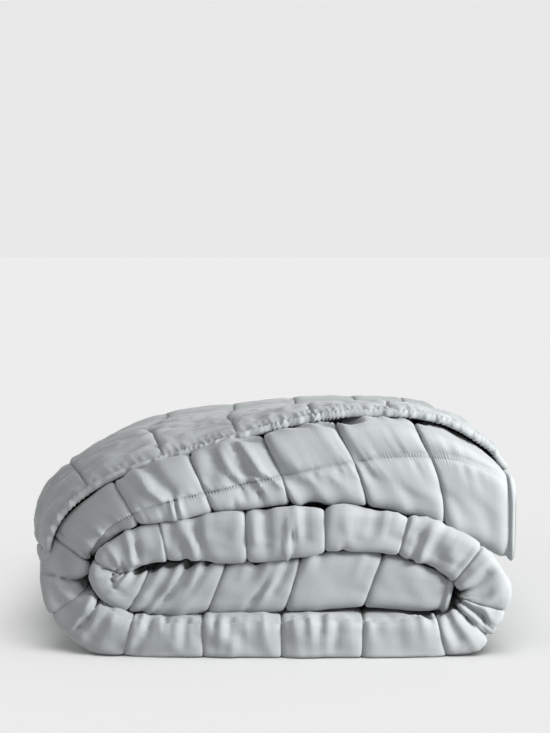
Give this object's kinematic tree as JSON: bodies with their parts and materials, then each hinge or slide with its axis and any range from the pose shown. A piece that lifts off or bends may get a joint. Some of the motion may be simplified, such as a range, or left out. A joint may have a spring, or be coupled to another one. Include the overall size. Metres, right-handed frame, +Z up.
{
  "type": "folded quilt",
  "caption": "Box-stitched quilt folded in thirds and rolled into a flat bundle, with a soft rounded front fold and a loose gathered hem on top.",
  "frame": {"origin": "middle of the footprint, on the surface the bundle rests on", "axes": "+Z up from the surface, +Y from the front fold towards the back fold, +X to the right seen from the front fold"},
  "size_m": [0.634, 0.8658, 0.3037],
  "materials": {
    "cloth": "matte washed cotton weave, pale grey"
  },
  "bodies": {
    "root": {"quilt": "cloth"}
  },
  "joints": []
}
